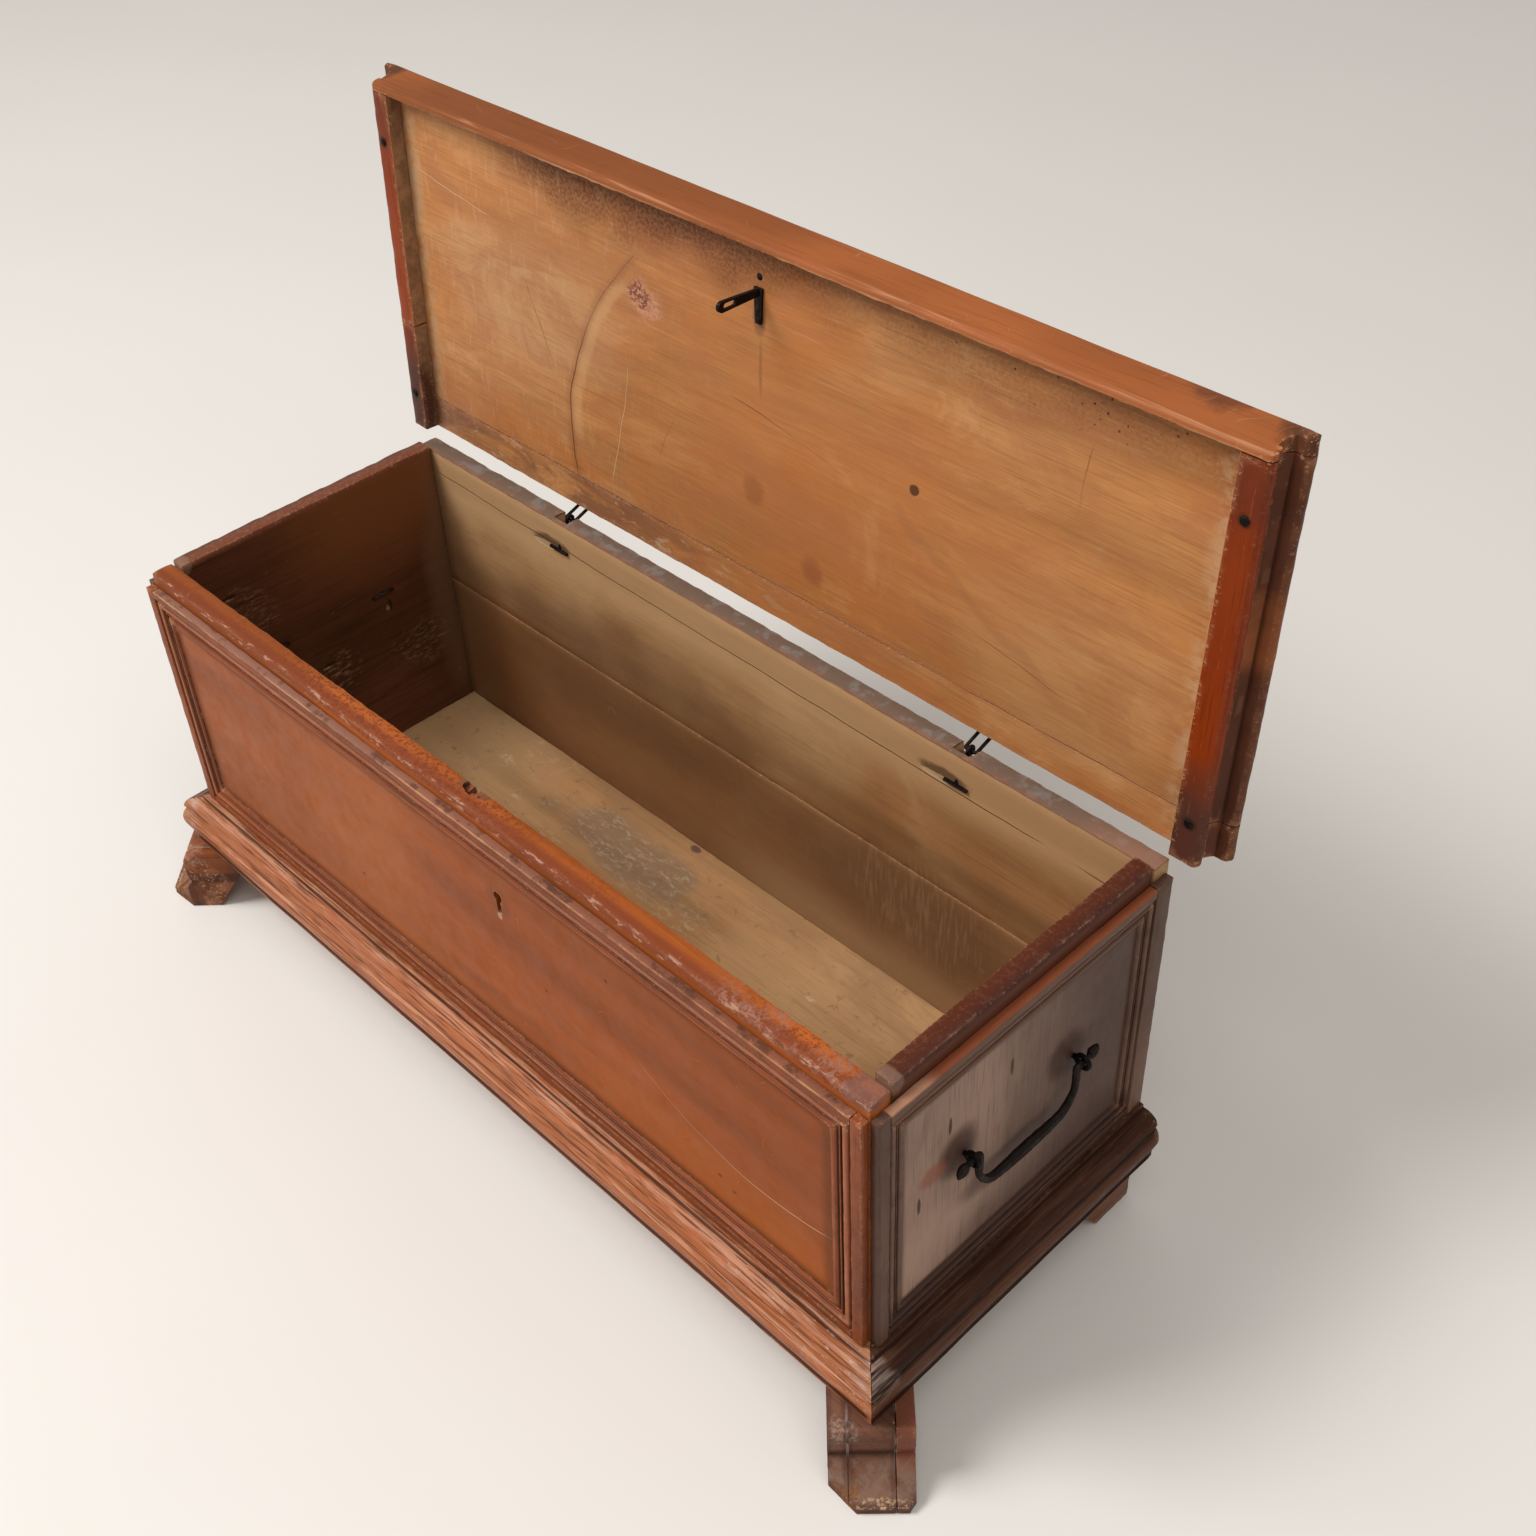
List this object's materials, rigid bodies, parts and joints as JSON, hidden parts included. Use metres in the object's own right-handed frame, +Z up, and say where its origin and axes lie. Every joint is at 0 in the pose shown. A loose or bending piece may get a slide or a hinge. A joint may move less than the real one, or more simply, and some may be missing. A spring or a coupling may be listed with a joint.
{
  "type": "cassone",
  "caption": "Walnut cassone with a moulded frame and plinth, splayed front feet, iron drop handles and a lid leaning open.",
  "frame": {"origin": "centre of the object's bounding box in plan, at floor level under the feet, with the lid leaning open", "axes": "+Z up, -Y towards the chest's front, +X to the right of someone facing it"},
  "size_m": [1.3268, 0.5492, 0.9572],
  "materials": {
    "walnut": "worn satin wax on red-brown walnut",
    "plinth_walnut": "darker, rubbed and chipped walnut moulding",
    "lid_walnut": "dry unpolished walnut inside, waxed edge moulding",
    "interior_boards": "dry unfinished boards",
    "wrought_iron": "black forged iron"
  },
  "bodies": {
    "chest": {"back_board_lower": "interior_boards", "back_board_upper": "interior_boards", "floor_board_front": "interior_boards", "floor_board_rear": "interior_boards", "front_bead_bottom": "walnut", "front_bead_left": "walnut", "front_bead_right": "walnut", "front_bead_top": "walnut", "front_board": "walnut", "front_bottom_rail": "walnut", "front_left_foot_cheeks": "plinth_walnut", "front_left_foot_core": "plinth_walnut", "front_left_stile": "walnut", "front_panel": "walnut", "front_right_foot_cheeks": "plinth_walnut", "front_right_foot_core": "plinth_walnut", "front_right_stile": "walnut", "front_top_rail": "walnut", "hinge_rings": "wrought_iron", "key_pin": "wrought_iron", "left_bead_frame": "walnut", "left_bottom_rail": "walnut", "left_front_stile": "walnut", "left_handle_eyes": "wrought_iron", "left_panel": "walnut", "left_rear_stile": "walnut", "left_side_board": "interior_boards", "left_top_rail": "walnut", "lock_guides": "wrought_iron", "lock_nails": "wrought_iron", "lock_plate": "wrought_iron", "plinth_front": "plinth_walnut", "plinth_left": "plinth_walnut", "plinth_right": "plinth_walnut", "rear_left_foot": "plinth_walnut", "rear_right_foot": "plinth_walnut", "right_bead_frame": "walnut", "right_bottom_rail": "walnut", "right_front_stile": "walnut", "right_handle_eyes": "wrought_iron", "right_panel": "walnut", "right_rear_stile": "walnut", "right_side_board": "interior_boards", "right_top_rail": "walnut"},
    "lid": {"batten_nails": "wrought_iron", "hasp": "wrought_iron", "hasp_nails": "wrought_iron", "hinge_clevises": "wrought_iron", "lid_board": "lid_walnut", "lid_front_lip": "lid_walnut", "lid_hinge_strip": "lid_walnut", "lid_left_batten_front": "lid_walnut", "lid_left_batten_rear": "lid_walnut", "lid_right_batten": "lid_walnut"},
    "right_bail": {"right_bail": "wrought_iron"},
    "left_bail": {"left_bail": "wrought_iron"},
    "lock_bolt": {"lock_bolt": "wrought_iron"}
  },
  "joints": [
    {"name": "lid_hinge", "type": "hinge", "parent": "chest", "child": "lid", "pos_m": [0, 0.21091, 0.4994], "axis": [1, 0, 0], "range_deg": [0, 93]},
    {"name": "right_bail_swing", "type": "hinge", "parent": "chest", "child": "right_bail", "pos_m": [0.5923, -0.00009, 0.34], "axis": [0, -1, 0], "range_deg": [0, 105]},
    {"name": "left_bail_swing", "type": "hinge", "parent": "chest", "child": "left_bail", "pos_m": [-0.5923, -0.00009, 0.34], "axis": [0, 1, 0], "range_deg": [0, 105]},
    {"name": "lock_bolt_slide", "type": "slide", "parent": "chest", "child": "lock_bolt", "axis": [-1, 0, 0], "range_m": [0, 0.015]}
  ]
}
